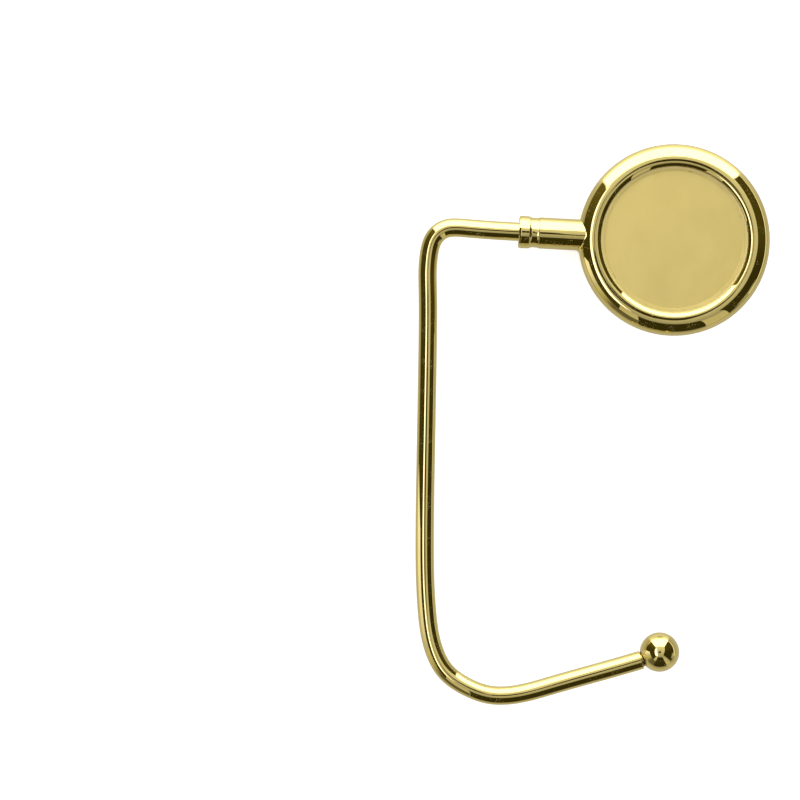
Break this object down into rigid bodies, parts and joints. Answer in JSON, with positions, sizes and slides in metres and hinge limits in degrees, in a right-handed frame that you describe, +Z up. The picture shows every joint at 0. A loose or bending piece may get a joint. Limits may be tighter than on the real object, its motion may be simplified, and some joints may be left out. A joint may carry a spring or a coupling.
{
  "type": "purse hook",
  "caption": "Table-top bag hook: round weighted head with a rubber grip pad, a short barrel, and a bent wire hook with a ball tip that swivels in the barrel.",
  "frame": {"origin": "centre of the grip pad's underside, where the head rests on a table top", "axes": "+Z up out of the face of the head, -X along the barrel towards the hook, -Y along the hook's long leg when it is folded flat for storage"},
  "size_m": [0.0785, 0.128, 0.0089],
  "materials": {
    "gold_plate": "polished",
    "satin_gold": "satin",
    "spring_steel": "satin",
    "rubber": "matte",
    "acetal": "satin",
    "adhesive": "matte"
  },
  "bodies": {
    "head": {"head_casting": "gold_plate", "face_plate": "satin_gold", "face_plate_adhesive": "adhesive", "grip_pad": "rubber", "grip_pad_adhesive": "adhesive", "barrel_collar": "gold_plate", "thrust_washer": "spring_steel", "wave_washer": "spring_steel", "friction_bush": "acetal"},
    "hook": {"hook_wire": "gold_plate", "retaining_ring": "spring_steel", "ball_tip": "gold_plate"}
  },
  "joints": [
    {"name": "hook_swivel", "type": "hinge", "parent": "head", "child": "hook", "pos_m": [-0.03493, 0, 0.00445], "axis": [-1, 0, 0], "continuous": true}
  ]
}
